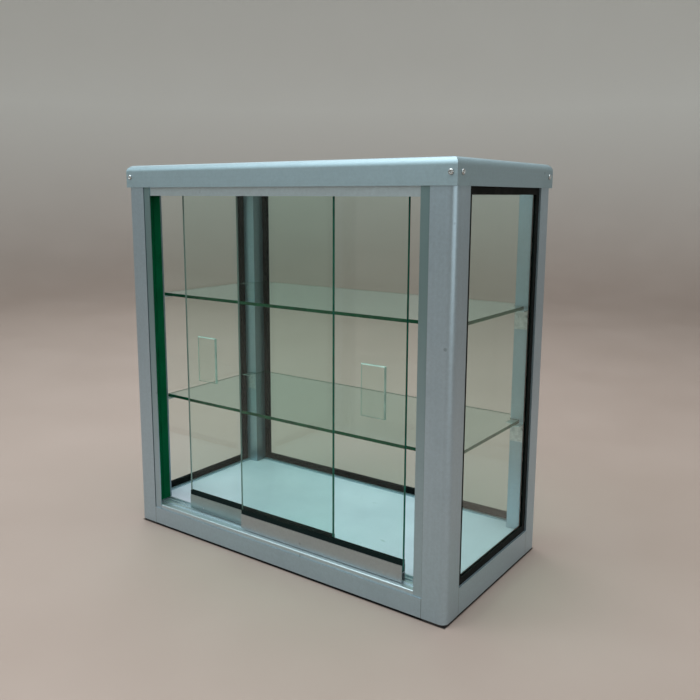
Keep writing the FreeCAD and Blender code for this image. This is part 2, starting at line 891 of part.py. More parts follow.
def make_brackets(level):
    """Four angle brackets, one screwed to each post, with a shelf resting on them."""
    thickness = dim("bracket_thickness")
    top = SHELF_UNDERSIDE[level]
    brackets = []
    for side in (LEFT, RIGHT):
        for end in (FRONT, REAR):
            name = f"bracket_{level}_{END_NAMES[end]}_{SIDE_NAMES[side]}"
            profile = [
                (inner_y, top - dim("bracket_height")),
                (inner_y, top),
                (inner_y - dim("bracket_reach"), top),
                (inner_y - dim("bracket_reach"), top - thickness),
                (inner_y - thickness, top - thickness),
                (inner_y - thickness, top - dim("bracket_height")),
            ]
            profile = [(across * end, up) for across, up in profile]
            low_x, high_x = bracket_span(side)
            angle = prism(f"{name}_angle", "YZ_Plane", [profile], high_x - low_x, low_x)
            drills = [
                rod(f"{name}_drill_{count}", dim("bracket_screw_shank") / 2,
                    dim("bracket_screw_reach"), seat, (0, end, 0))
                for count, seat in enumerate(bracket_screw_places(side, end, level), start=1)
            ]
            brackets.append(without(name, angle, drills))
    keep(group(f"shelf_brackets_{level}", brackets), f"shelf_brackets_{level}")


def make_bracket_screws():
    screws = []
    for level in SHELF_UNDERSIDE:
        for side in (LEFT, RIGHT):
            for end in (FRONT, REAR):
                place = f"{level}_{END_NAMES[end]}_{SIDE_NAMES[side]}"
                seats = bracket_screw_places(side, end, level)
                for count, seat in enumerate(seats, start=1):
                    screws.append(pan_screw(
                        f"bracket_screw_{place}_{count}", dim("bracket_screw_shank"),
                        dim("bracket_screw_head"), dim("bracket_screw_head_height"),
                        dim("bracket_screw_reach"), seat, (0, -end, 0)))
    keep(group("bracket_screws", screws), "bracket_screws")


# ---------------------------------------------------------------- sliding doors

def wheel_places(side):
    """Centres of a door's two rollers."""
    low = DOOR_LOW_X[side] + dim("axle_inset")
    high = DOOR_LOW_X[side] + door_width - dim("axle_inset")
    return {"outer": (low if side == LEFT else high, wheel_z),
            "inner": (high if side == LEFT else low, wheel_z)}


def make_door_glass(side):
    name = f"door_glass_{SIDE_NAMES[side]}"
    half = dim("glass") / 2
    middle_y = DOOR_Y[side]
    keep(brick(name, (DOOR_LOW_X[side], DOOR_LOW_X[side] + door_width),
               (middle_y - half, middle_y + half), (glass_bottom, glass_top)), name)


def make_door_shoe(side):
    """The H-shaped bottom channel: glass and rubber above the web, rollers below it."""
    name = f"door_shoe_{SIDE_NAMES[side]}"
    outer = dim("shoe_width") / 2
    inner = outer - dim("shoe_wall")
    middle_y = DOOR_Y[side]
    outline = [
        (-outer, shoe_bottom),
        (-inner, shoe_bottom),
        (-inner, web_bottom),
        (inner, web_bottom),
        (inner, shoe_bottom),
        (outer, shoe_bottom),
        (outer, shoe_top),
        (inner, shoe_top),
        (inner, web_top),
        (-inner, web_top),
        (-inner, shoe_top),
        (-outer, shoe_top),
    ]
    outline = [(middle_y + across, up) for across, up in outline]
    channel = prism(f"{name}_channel", "YZ_Plane", [outline], door_width, DOOR_LOW_X[side])
    drills = [
        rod(f"{name}_{place}_drill", dim("axle_diameter") / 2, dim("shoe_width"),
            (centre_x, middle_y - outer, centre_z), (0, 1, 0))
        for place, (centre_x, centre_z) in wheel_places(side).items()
    ]
    keep(without(name, channel, drills), name)


def make_shoe_gasket(side):
    """The rubber channel between the glass and its shoe."""
    name = f"door_gasket_{SIDE_NAMES[side]}"
    outer = dim("shoe_width") / 2 - dim("shoe_wall")
    inner = dim("glass") / 2
    top = shoe_top + dim("shoe_gasket_rise")
    middle_y = DOOR_Y[side]
    outline = [
        (-outer, web_top),
        (outer, web_top),
        (outer, top),
        (inner, top),
        (inner, glass_bottom),
        (-inner, glass_bottom),
        (-inner, top),
        (-outer, top),
    ]
    outline = [(middle_y + across, up) for across, up in outline]
    keep(prism(name, "YZ_Plane", [outline], door_width, DOOR_LOW_X[side]), name)


def make_pull(side):
    """A small bevelled glass plate glued to the front of the door."""
    name = f"door_pull_{SIDE_NAMES[side]}"
    back_y = DOOR_Y[side] - dim("glass") / 2
    low_x = DOOR_LOW_X[side] + dim("pull_inset")
    if side == RIGHT:
        low_x = DOOR_LOW_X[side] + door_width - dim("pull_inset") - dim("pull_width")
    centre_z = base_z + dim("pull_centre")
    half = dim("pull_height") / 2
    plate = brick(f"{name}_plate", (low_x, low_x + dim("pull_width")),
                  (back_y - dim("pull_thickness"), back_y), (centre_z - half, centre_z + half))
    doc.recompute()
    front = (back_y - dim("pull_thickness")).value
    bevel = doc.addObject("Part::Chamfer", name)
    bevel.Base = plate
    size = dim("pull_bevel").value
    edges = enumerate(plate.Shape.Edges, start=1)
    bevel.Edges = [(index, size, size) for index, edge in edges
                   if abs(edge.BoundBox.YMax - front) < CLOSE]
    keep(bevel, name)


def make_rollers(side):
    """Two grooved rollers and their axle pins, inside the shoe."""
    bore = dim("axle_diameter") / 2 + dim("axle_fit")
    rim = dim("wheel_radius")
    flange = rim + dim("wheel_flange")
    half_width = dim("wheel_width") / 2
    half_groove = dim("wheel_groove") / 2
    profile = [
        (bore, -half_width),
        (flange, -half_width),
        (flange, -half_groove),
        (rim, -half_groove),
        (rim, half_groove),
        (flange, half_groove),
        (flange, half_width),
        (bore, half_width),
    ]
    axles = []
    for place, (centre_x, centre_z) in wheel_places(side).items():
        name = f"roller_{SIDE_NAMES[side]}_{place}"
        keep(turned(name, profile, (centre_x, DOOR_Y[side], centre_z), (0, 1, 0)), name)
        axles.append(rod(
            f"axle_{SIDE_NAMES[side]}_{place}", dim("axle_diameter") / 2, dim("shoe_width"),
            (centre_x, DOOR_Y[side] - dim("shoe_width") / 2, centre_z), (0, 1, 0)))
    keep(group(f"door_axles_{SIDE_NAMES[side]}", axles), f"door_axles_{SIDE_NAMES[side]}")


# ---------------------------------------------------------------- the whole case

for end in (FRONT, REAR):
    for side in (LEFT, RIGHT):
        make_post(side, end)
        make_foot(side, end)
make_glazed_rails()
make_front_rails()
make_spigots()
make_bottom_track()
make_top_track()
make_buffers()
make_cap()
make_cap_screws()
for side in (LEFT, RIGHT):
    make_side_glazing(side)
make_rear_glazing()
make_top_glazing()
make_base_board()
for level in SHELF_UNDERSIDE:
    make_shelf(level)
    make_brackets(level)
make_bracket_screws()
for side in (LEFT, RIGHT):
    make_door_glass(side)
    make_door_shoe(side)
    make_shoe_gasket(side)
    make_pull(side)
    make_rollers(side)
doc.recompute()

# ---------------------------------------------------------------- check and export

for item in doc.Objects:
    if "Invalid" in item.State or "Error" in item.State:
        raise RuntimeError(f"{item.Label} did not recompute: {item.State}")
for node in nodes:
    if node.Shape.isNull() or not node.Shape.isValid():
        raise RuntimeError(f"{node.Label} has no valid shape")

os.makedirs("parts", exist_ok=True)
for node in nodes:
    node.Shape.exportStep(f"parts/{node.Label}.step")
    box = node.Shape.BoundBox
    print(f"{node.Label}: {len(node.Shape.Solids)} solid(s), "
          f"{box.XLength:.1f} x {box.YLength:.1f} x {box.ZLength:.1f}")
print(f"{len(nodes)} nodes")
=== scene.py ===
"""Looks of the tabletop display case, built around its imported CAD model."""

import math

import bmesh
import bpy
from mathutils import Matrix, Vector


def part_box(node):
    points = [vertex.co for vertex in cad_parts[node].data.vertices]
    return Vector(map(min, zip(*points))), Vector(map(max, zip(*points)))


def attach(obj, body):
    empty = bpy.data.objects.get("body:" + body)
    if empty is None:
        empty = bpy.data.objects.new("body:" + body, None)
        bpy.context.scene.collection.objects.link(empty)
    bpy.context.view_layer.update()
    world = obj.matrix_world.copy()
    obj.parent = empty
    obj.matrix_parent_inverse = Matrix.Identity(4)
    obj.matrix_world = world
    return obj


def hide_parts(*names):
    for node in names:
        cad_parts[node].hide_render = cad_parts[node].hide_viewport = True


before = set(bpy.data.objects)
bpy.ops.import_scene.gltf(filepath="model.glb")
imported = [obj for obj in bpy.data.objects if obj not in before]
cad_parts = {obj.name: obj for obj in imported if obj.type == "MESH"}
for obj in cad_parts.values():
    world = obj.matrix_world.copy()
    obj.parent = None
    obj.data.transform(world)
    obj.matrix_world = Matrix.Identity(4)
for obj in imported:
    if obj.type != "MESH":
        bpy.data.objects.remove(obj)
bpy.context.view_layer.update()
MM = 0.001


# ---------------------------------------------------------------- material helpers

SPOT_CORE = 0.6             # share of a spot's radius that is fully dark
SPOT_AREAS = 15.0           # noise scale of the areas that have spots


class Look:
    """A procedural material under construction, in the row frame's metres."""

    def __init__(self, name):
        self.material = bpy.data.materials.new(name)
        self.material.use_nodes = True
        self.tree = self.material.node_tree
        self.shader = self.tree.nodes["Principled BSDF"]
        self.output = self.tree.nodes["Material Output"]
        coordinates = self.tree.nodes.new("ShaderNodeTexCoord")
        self.place = coordinates.outputs["Object"]

    def node(self, kind, **settings):
        """A new shader node with its settings."""
        made = self.tree.nodes.new(kind)
        for key, value in settings.items():
            setattr(made, key, value)
        return made

    def feed(self, socket, value):
        """Set a socket to a number or colour, or link it to another socket."""
        if isinstance(value, bpy.types.NodeSocket):
            self.tree.links.new(value, socket)
        else:
            socket.default_value = value

    def set(self, **values):
        """Values for the Principled shader, by socket name with _ for spaces."""
        for key, value in values.items():
            self.feed(self.shader.inputs[key.replace("_", " ")], value)

    def stretched(self, scale):
        """The place, scaled by its own factor along X, Y and Z."""
        mapping = self.node("ShaderNodeMapping")
        self.feed(mapping.inputs["Vector"], self.place)
        mapping.inputs["Scale"].default_value = scale
        return mapping.outputs["Vector"]

    def noise(self, scale, detail=2.0, vector=None, roughness=0.5):
        """Noise around 0.5, over the place or another vector."""
        noise = self.node("ShaderNodeTexNoise")
        self.feed(noise.inputs["Vector"], vector or self.place)
        noise.inputs["Scale"].default_value = scale
        noise.inputs["Detail"].default_value = detail
        noise.inputs["Roughness"].default_value = roughness
        return noise.outputs["Fac"]

    def spread(self, factor, low, high, start=0.3, end=0.7):
        """A factor between start and end turned into a number between low and high."""
        span = self.node("ShaderNodeMapRange")
        self.feed(span.inputs["Value"], factor)
        span.inputs["From Min"].default_value = start
        span.inputs["From Max"].default_value = end
        span.inputs["To Min"].default_value = low
        span.inputs["To Max"].default_value = high
        return span.outputs["Result"]

    def spots(self, scale, size, rarity):
        """1 in small scattered spots: size is a share of their spacing, rarity from 0 to 1."""
        cells = self.node("ShaderNodeTexVoronoi")
        self.feed(cells.inputs["Vector"], self.place)
        cells.inputs["Scale"].default_value = scale
        inside = self.spread(cells.outputs["Distance"], 1.0, 0.0, SPOT_CORE * size, size)
        area = self.spread(self.noise(SPOT_AREAS, 1.0), 0.0, 1.0, rarity, rarity + 0.05)
        return self.math("MULTIPLY", inside, area)

    def math(self, operation, first, second=0.0):
        node = self.node("ShaderNodeMath", operation=operation)
        self.feed(node.inputs[0], first)
        self.feed(node.inputs[1], second)
        return node.outputs[0]

    def mix(self, factor, first, second):
        """The first colour where factor is 0, the second where it is 1."""
        node = self.node("ShaderNodeMix", data_type="RGBA")
        self.feed(node.inputs["Factor"], factor)
        self.feed(node.inputs["A"], first)
        self.feed(node.inputs["B"], second)
        return node.outputs["Result"]

    def bump(self, height, strength, distance, below=None):
        """A normal bent by height, on top of the bump below if there is one."""
        bump = self.node("ShaderNodeBump")
        self.feed(bump.inputs["Height"], height)
        bump.inputs["Strength"].default_value = strength
        bump.inputs["Distance"].default_value = distance
        if below is not None:
            self.feed(bump.inputs["Normal"], below)
        return bump.outputs["Normal"]

    def axis(self, name):
        """The place along X, Y or Z."""
        split = self.node("ShaderNodeSeparateXYZ")
        self.feed(split.inputs["Vector"], self.place)
        return split.outputs[name]


def colour(red, green, blue):
    """An opaque colour as a shader socket takes it."""
    return (red, green, blue, 1.0)


def shade(tone, share):
    """A share of a tone."""
    return colour(*[share * part for part in tone])


# ---------------------------------------------------------------- materials

CASE_HALF_X, CASE_HALF_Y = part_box("post_front_right")[1].x, -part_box("post_front_right")[0].y
RAIL_END_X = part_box("bottom_rail_front")[1].x
RAIL_END_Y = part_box("bottom_rail_left")[1].y

FRAME_TONE = (0.44, 0.565, 0.64)
CAP_TONE = (0.38, 0.51, 0.56)
TRACK_TONE = (0.54, 0.65, 0.69)
# Painted shade: the left door's shoe is a darker copy of the right one's tone, for the shade it stands
# in.
LEFT_SHOE_SHADED_TONE = (0.34, 0.43, 0.43)
RIGHT_SHOE_TONE = (0.43, 0.47, 0.48)
SEAM_TONE = (0.02, 0.025, 0.025)
SEAM_START, SEAM_FULL = 0.7 * MM, 0.3 * MM      # how far short of a rail's end its dark line is
LIP_PAINTED_SHADE_SHARE = (0.48, 0.58, 0.53)                  # of the post's colour, for the painted shade on the lip
LIP_FADE = 0.5 * MM
LIP_LOW, LIP_HIGH = 0.1, 0.42                   # heights between which the lip's painted shade grows darker
LIP_LINE_TONE = (0.03, 0.04, 0.04)
LIP_LINE_PLACE = 0.3 * MM                       # of the line's middle, inside the lip's edge
LIP_LINE_CORE, LIP_LINE_REACH = 0.2 * MM, 0.6 * MM

SHELF_EDGE = (0.006, 0.078, 0.036)
DOOR_EDGE = (0.006, 0.13, 0.085)
PULL_EDGE = (0.34, 0.50, 0.43)
EDGE_HIGHLIGHT_TONE = (0.22, 0.27, 0.25)
HIGHLIGHT_CORE, HIGHLIGHT_REACH = 1.0 * MM, 1.5 * MM      # how far in from the upright edge its painted highlight shows
GLASS_FACE = (0.99, 0.995, 0.985)
GLASS_IN_SHADOW = (0.965, 0.98, 0.975)
GLASS_TINT, GLASS_DENSITY = (0.5, 0.82, 0.73), 46.0
# Both indices are below float glass's 1.52: with more reflection the gaskets behind the doors turn
# brown, and in the photograph they stay black.
GLASS_INDEX, DOOR_INDEX = 1.42, 1.25

DUST = 0.005                                    # added to rubber's tone where it is dusty
FLOOR_DARK, FLOOR_LIGHT = (0.36, 0.285, 0.245), (0.39, 0.315, 0.275)
WALL_TONE, WALL_FULL_HEIGHT = (0.72, 0.71, 0.67), 1.2
# Painted shade: the floor is near black under the case, where the case's shadow falls.
UNDER_CASE_PAINTED_SHADE = (0.012, 0.011, 0.010)
UNDER_SHADE_CORE, UNDER_SHADE_REACH = -2.0 * MM, 0.5 * MM   # from the case's outline, outwards


def anodised(name, along, tone, roughness, seam=None, lip=None):
    """Satin anodised extrusion: die lines along one axis, fine grain, smudges and spots.

    seam is the distance from the middle to a rail's end, where a butt joint's dark line shows.
    lip is the distance in X within which the section is the door lip: painted shade of its recess,
    darker towards its top, with a dark line along its edge."""
    look = Look(name)
    lines_scale = [420.0, 420.0, 420.0]
    lines_scale["XYZ".index(along)] = 1.5
    lines = look.noise(1.0, 3.0, look.stretched(lines_scale), 0.6)
    grain = look.noise(1400.0, 2.0, roughness=0.6)
    mottle = look.noise(240.0, 3.0, roughness=0.6)
    smudge = look.noise(13.0, 4.0)
    base = look.mix(look.spread(mottle, 0.0, 1.0, 0.3, 0.7),
                    shade(tone, 0.94), shade(tone, 1.06))
    base = look.mix(look.spread(grain, 0.0, 0.35), base, shade(tone, 0.8))
    base = look.mix(look.spread(lines, 0.0, 0.2), base, shade(tone, 0.78))
    base = look.mix(look.spread(smudge, 0.0, 0.3, 0.55, 0.8), base, shade(tone, 0.66))
    base = look.mix(look.spots(24.0, 0.07, 0.5), base, shade(tone, 0.68))
    if seam is not None:
        distance = look.math("ABSOLUTE", look.axis(along))
        dark = look.spread(distance, 0.0, 0.85, seam - SEAM_START, seam - SEAM_FULL)
        base = look.mix(dark, base, colour(*SEAM_TONE))
    # Painted shade: the recessed door lip is darkened, more towards its top.
    if lip is not None:
        distance = look.math("ABSOLUTE", look.axis("X"))
        inside = look.spread(distance, 1.0, 0.0, lip - LIP_FADE, lip)
        upper = look.spread(look.axis("Z"), 0.2, 0.95, LIP_LOW, LIP_HIGH)
        base = look.mix(look.math("MULTIPLY", inside, upper), base,
                        colour(*[share * part for share, part in zip(LIP_PAINTED_SHADE_SHARE, tone)]))
        from_line = look.math("ABSOLUTE", look.math("SUBTRACT", distance, lip - LIP_LINE_PLACE))
        base = look.mix(look.spread(from_line, 0.7, 0.0, LIP_LINE_CORE, LIP_LINE_REACH),
                        base, colour(*LIP_LINE_TONE))
    look.set(Base_Color=base, Metallic=0.8)
    rough = look.math("ADD", look.spread(mottle, roughness - 0.02, roughness + 0.03),
                      look.spread(smudge, 0.0, 0.08, 0.5, 0.8))
    look.set(Roughness=rough)
    bumped = look.bump(lines, 0.02, 0.00005)
    bumped = look.bump(grain, 0.05, 0.00005, bumped)
    look.set(Normal=bumped)
    return look.material


def clear_glass(name, thin, smear, edge, highlight_edge=None, index=GLASS_INDEX, turn=(0.35, 0.6)):
    """Float glass: clear through its faces, green where its cut edges show, lightly smeared.

    highlight_edge is the place in X of an upright edge painted pale instead of green: a painted
    highlight.
    Between the two values of turn, the normal's part along thin goes from edge to face."""
    look = Look(name)
    facing = look.node("ShaderNodeSeparateXYZ")
    coordinates = look.node("ShaderNodeTexCoord")
    look.feed(facing.inputs["Vector"], coordinates.outputs["Normal"])
    face = look.spread(look.math("ABSOLUTE", facing.outputs[thin]), 0.0, 1.0, *turn)
    streak = look.noise(55.0, 3.0)
    green = look.mix(look.spread(streak, 0.0, 1.0),
                     shade(edge, 0.75), shade(edge, 1.3))
    # Painted highlight: that upright edge is painted pale grey instead of green.
    if highlight_edge is not None:
        dull = look.spread(look.axis("X"), 1.0, 0.0, highlight_edge + HIGHLIGHT_CORE, highlight_edge + HIGHLIGHT_REACH)
        green = look.mix(dull, green, colour(*EDGE_HIGHLIGHT_TONE))
    look.set(Base_Color=look.mix(face, green, colour(*GLASS_FACE)))
    look.set(Transmission_Weight=look.spread(face, 0.12, 1.0, 0.0, 1.0), IOR=index)
    marks = look.noise(14.0, 3.0, look.stretched((1.0, 1.0, 0.6)))
    smeared = look.spread(marks, 0.0, smear, 0.5, 0.8)
    look.set(Roughness=look.math("ADD", smeared, look.spread(face, 0.22, 0.0, 0.0, 1.0)))
    wave = look.noise(5.0, 1.0)
    look.set(Normal=look.bump(wave, 0.012, 0.0004))
    passing = look.node("ShaderNodeBsdfTransparent")
    passing.inputs["Color"].default_value = colour(*GLASS_IN_SHADOW)
    path = look.node("ShaderNodeLightPath")
    either = look.node("ShaderNodeMixShader")
    look.feed(either.inputs[0], path.outputs["Is Shadow Ray"])
    look.feed(either.inputs[1], look.shader.outputs[0])
    look.feed(either.inputs[2], passing.outputs[0])
    look.feed(look.output.inputs["Surface"], either.outputs[0])
    tint = look.node("ShaderNodeVolumeAbsorption")
    tint.inputs["Color"].default_value = colour(*GLASS_TINT)
    tint.inputs["Density"].default_value = GLASS_DENSITY
    look.feed(look.output.inputs["Volume"], tint.outputs[0])
    return look.material


def rubber(name, tone):
    """Dull black rubber with patches of dust."""
    look = Look(name)
    dust = look.noise(45.0, 4.0, roughness=0.7)
    base = look.mix(look.spread(dust, 0.0, 1.0, 0.5, 0.8),
                    colour(*tone), colour(*[DUST + part for part in tone]))
    look.set(Base_Color=base, Roughness=look.spread(dust, 0.5, 0.75))
    look.set(Specular_IOR_Level=0.12)
    look.set(Normal=look.bump(look.noise(700.0, 2.0), 0.2, 0.0001))
    return look.material


def laminate(name):
    """Pale laminate with a fine mottle, dust, a few scuffs and specks."""
    look = Look(name)
    fine = look.noise(420.0, 4.0, roughness=0.75)
    cloud = look.noise(11.0, 4.0)
    scuff = look.noise(1.0, 5.0, look.stretched((26.0, 60.0, 60.0)), 0.65)
    base = look.mix(look.spread(cloud, 0.0, 1.0), colour(0.54, 0.54, 0.65), colour(0.65, 0.64, 0.75))
    base = look.mix(look.spread(fine, 0.0, 0.3, 0.45, 0.7), base, colour(0.42, 0.47, 0.53))
    base = look.mix(look.spread(scuff, 0.0, 0.5, 0.66, 0.72), base, colour(0.24, 0.28, 0.29))
    base = look.mix(look.spots(22.0, 0.05, 0.5), base, colour(0.13, 0.15, 0.14))
    look.set(Base_Color=base, Roughness=look.spread(cloud, 0.38, 0.55))
    look.set(Normal=look.bump(fine, 0.08, 0.0001))
    return look.material


def soft_green(name):
    """Soft strip with short upright pile."""
    look = Look(name)
    pile = look.noise(1.0, 3.0, look.stretched((1600.0, 1600.0, 260.0)), 0.6)
    worn = look.noise(22.0, 3.0)
    base = look.mix(look.spread(pile, 0.0, 1.0), colour(0.0, 0.066, 0.023), colour(0.0, 0.11, 0.042))
    base = look.mix(look.spread(worn, 0.0, 0.5, 0.45, 0.7), base, colour(0.0, 0.05, 0.018))
    look.set(Base_Color=base, Roughness=look.spread(pile, 0.6, 0.85))
    look.set(Specular_IOR_Level=0.05)
    look.set(Normal=look.bump(pile, 0.3, 0.0002))
    return look.material


def plated(name, tone, roughness):
    """Bright plated steel with fine scratches and dull spots."""
    look = Look(name)
    scratch = look.noise(1.0, 3.0, look.stretched((2600.0, 400.0, 700.0)), 0.6)
    dull = look.noise(160.0, 3.0)
    base = look.mix(look.spread(dull, 0.0, 1.0, 0.4, 0.7),
                    colour(*tone), shade(tone, 0.72))
    look.set(Base_Color=base, Metallic=1.0)
    look.set(Roughness=look.math("ADD", look.spread(dull, roughness - 0.05, roughness + 0.12),
                                 look.spread(scratch, 0.0, 0.06)))
    look.set(Normal=look.bump(scratch, 0.08, 0.0001))
    return look.material


def moulded(name, tone, roughness):
    """Moulded plastic with a slight mottle and a fine grain."""
    look = Look(name)
    mottle = look.noise(230.0, 3.0)
    base = look.mix(look.spread(mottle, 0.0, 1.0), shade(tone, 0.8), shade(tone, 1.2))
    look.set(Base_Color=base, Roughness=look.spread(mottle, roughness - 0.07, roughness + 0.08))
    look.set(Normal=look.bump(look.noise(1100.0, 2.0), 0.15, 0.0001))
    return look.material


def pale_floor(name):
    """Plain warm floor that turns into a pale wall, with painted shade under the case."""
    look = Look(name)
    cloud = look.noise(3.0, 4.0)
    base = look.mix(look.spread(cloud, 0.0, 1.0), colour(*FLOOR_DARK), colour(*FLOOR_LIGHT))
    base = look.mix(look.spread(look.axis("Z"), 0.0, 1.0, 0.0, WALL_FULL_HEIGHT), base,
                    colour(*WALL_TONE))
    across = look.math("SUBTRACT", look.math("ABSOLUTE", look.axis("X")), CASE_HALF_X)
    back = look.math("SUBTRACT", look.math("ABSOLUTE", look.axis("Y")), CASE_HALF_Y)
    outside = look.math("MAXIMUM", across, back)
    # painted shade: near black under the case and a little way out from its outline
    base = look.mix(look.spread(outside, 1.0, 0.0, UNDER_SHADE_CORE, UNDER_SHADE_REACH), base,
                    colour(*UNDER_CASE_PAINTED_SHADE))
    look.set(Base_Color=base, Roughness=look.spread(cloud, 0.55, 0.7))
    look.set(Normal=look.bump(look.noise(160.0, 3.0), 0.05, 0.0003))
    return look.material


materials = {
    "post": anodised("post_anodised", "Z", FRAME_TONE, 0.34, lip=RAIL_END_X),
    "rail_x": anodised("rail_anodised_x", "X", FRAME_TONE, 0.36, seam=RAIL_END_X),
    "rail_y": anodised("rail_anodised_y", "Y", FRAME_TONE, 0.36, seam=RAIL_END_Y),
    "cap_x": anodised("cap_anodised_x", "X", CAP_TONE, 0.5),
    "cap_y": anodised("cap_anodised_y", "Y", CAP_TONE, 0.5),
    "track": anodised("track_anodised", "X", TRACK_TONE, 0.36, seam=RAIL_END_X),
    # painted shade: the left shoe is a darker copy of the right one
    "shoe_left": anodised("shoe_anodised_left_painted_shade", "X", LEFT_SHOE_SHADED_TONE, 0.34),
    "shoe_right": anodised("shoe_anodised_right", "X", RIGHT_SHOE_TONE, 0.34),
    "spigot": anodised("spigot_mill", "X", TRACK_TONE, 0.42),
    "pane_x": clear_glass("pane_glass_side", "X", 0.015, DOOR_EDGE),
    "pane_y": clear_glass("pane_glass_rear", "Y", 0.015, DOOR_EDGE),
    "pane_z": clear_glass("pane_glass_top", "Z", 0.015, DOOR_EDGE),
    "door_left": clear_glass("door_glass_left", "Y", 0.01, DOOR_EDGE,
                             highlight_edge=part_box("door_glass_left")[0].x, index=DOOR_INDEX),
    "door_right": clear_glass("door_glass_right", "Y", 0.01, DOOR_EDGE,
                              highlight_edge=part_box("door_glass_right")[0].x, index=DOOR_INDEX),
    "shelf": clear_glass("shelf_glass", "Z", 0.02, SHELF_EDGE),
    "pull": clear_glass("pull_glass", "Y", 0.04, PULL_EDGE, turn=(0.8, 0.95)),
    "rubber": rubber("gasket_rubber", (0.001, 0.0025, 0.002)),
    "shoe_rubber": rubber("shoe_rubber", (0.002, 0.011, 0.011)),
    "board": laminate("base_laminate"),
    "buffer": soft_green("buffer_green"),
    "bracket": plated("bracket_plated", (0.76, 0.80, 0.80), 0.30),
    "screw": plated("screw_plated", (0.62, 0.65, 0.65), 0.16),
    "axle": plated("axle_steel", (0.6, 0.6, 0.6), 0.25),
    "roller": moulded("roller_nylon", (0.66, 0.66, 0.6), 0.35),
    "foot": moulded("foot_plastic", (0.012, 0.012, 0.012), 0.45),
}


def coat(node, key):
    """Give a CAD node one of the materials."""
    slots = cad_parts[node].data.materials
    slots.clear()
    slots.append(materials[key])


for end in ("front", "rear"):
    for side in ("left", "right"):
        coat(f"post_{end}_{side}", "post")
        coat(f"foot_{end}_{side}", "foot")
for level in ("bottom", "top"):
    for place, key in (("left", "rail_y"), ("right", "rail_y"), ("rear", "rail_x"), ("front", "rail_x")):
        coat(f"{level}_rail_{place}", key)
    coat(f"{level}_rail_spigots", "spigot")
    coat(f"{level}_track", "track")
for place, key in (("front", "cap_x"), ("rear", "cap_x"), ("left", "cap_y"), ("right", "cap_y")):
    coat(f"cap_{place}", key)
for place, key in (("left", "pane_x"), ("right", "pane_x"), ("rear", "pane_y"), ("top", "pane_z")):
    coat(f"{place}_pane", key)
    coat(f"{place}_gasket", "rubber")
for level in ("lower", "upper"):
    coat(f"shelf_{level}", "shelf")
    coat(f"shelf_brackets_{level}", "bracket")
coat("base_board", "board")
for side in ("left", "right"):
    coat(f"door_glass_{side}", f"door_{side}")
    coat(f"door_shoe_{side}", f"shoe_{side}")
    coat(f"door_gasket_{side}", "shoe_rubber")
    coat(f"door_axles_{side}", "axle")
    coat(f"roller_{side}_outer", "roller")
    coat(f"roller_{side}_inner", "roller")


# ---------------------------------------------------------------- extra pieces

def new_piece(name, mesh_maker, key, slot, body, *stands_for):
    """A mesh piece made by mesh_maker(bm), riding on a body in place of CAD nodes."""
    mesh = bpy.data.meshes.new(name)
    bm = bmesh.new()
    mesh_maker(bm)
    bmesh.ops.recalc_face_normals(bm, faces=bm.faces)
    bm.to_mesh(mesh)
    bm.free()
    piece = bpy.data.objects.new(name, mesh)
    bpy.context.scene.collection.objects.link(piece)
    mesh.materials.append(materials[key])
    if stands_for:
        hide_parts(*stands_for)
    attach(piece, body)


def turn_to(direction):
    """The rotation that takes +Z to a direction."""
    return Vector((0, 0, 1)).rotation_difference(Vector(direction)).to_matrix().to_4x4()


def join_rings(bm, centre, rings):
    """Smooth faces from a middle vertex outwards through rings of vertices."""
    previous = None
    for ring in rings:
        for spoke in range(len(ring)):
            after = (spoke + 1) % len(ring)
            if previous is None:
                corners = (centre, ring[spoke], ring[after])
            else:
                corners = (previous[spoke], ring[spoke], ring[after], previous[after])
            bm.faces.new(corners).smooth = True
        previous = ring


HEAD_RINGS, HEAD_SPOKES = 14, 48
RING_POWER = 0.85           # below 1, the rings lie closer together towards the rim
DOME_POWER = 4
RECESS_REACH, RECESS_HALF, RECESS_FADE = 0.62, 0.13, 0.18       # shares of the head's radius
RECESS_DEPTH = 0.55         # share of the head's height
RECESS_FLARE = 1.6          # the recess's width at its mouth, over that at its floor


def pan_head(bm, seat, direction, radius, height, roll):
    """A domed head with a cross recess, standing on seat."""
    recess_reach, recess_half = RECESS_REACH * radius, RECESS_HALF * radius
    mouth_half = recess_half * RECESS_FLARE

    def top(across, angle):
        share = across / radius
        level = height * (1 - share ** DOME_POWER) ** 0.5 if share < 1 else 0.0
        x, y = across * math.cos(angle), across * math.sin(angle)
        near = min(abs(x), abs(y))
        if across < recess_reach and near < mouth_half:
            edge = min(1.0, (mouth_half - near) / (mouth_half - recess_half))
            fade = min(1.0, (recess_reach - across) / (RECESS_FADE * radius))
            level -= RECESS_DEPTH * height * edge * fade
        return Vector((x, y, level))

    place = Matrix.Translation(seat) @ turn_to(direction) @ Matrix.Rotation(roll, 4, "Z")
    centre = bm.verts.new(place @ top(0.0, 0.0))
    rings = []
    for step in range(1, HEAD_RINGS + 1):
        across = radius * (step / HEAD_RINGS) ** RING_POWER
        rings.append([bm.verts.new(place @ top(across, math.tau * spoke / HEAD_SPOKES))
                      for spoke in range(HEAD_SPOKES)])
    join_rings(bm, centre, rings)
    bm.faces.new(list(reversed(rings[-1])))


screws_low, screws_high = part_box("cap_screws")
case_low, case_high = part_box("cap_left")[0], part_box("cap_right")[1]
CAP_HEAD_RADIUS, CAP_HEAD_HEIGHT = 4.0 * MM, 2.2 * MM
cap_screw_z = (screws_low.z + screws_high.z) / 2
FRONT_INSET, SIDE_INSET = 9.0 * MM, 13.5 * MM
FIRST_ROLL, NEXT_ROLL = 0.5, 0.83


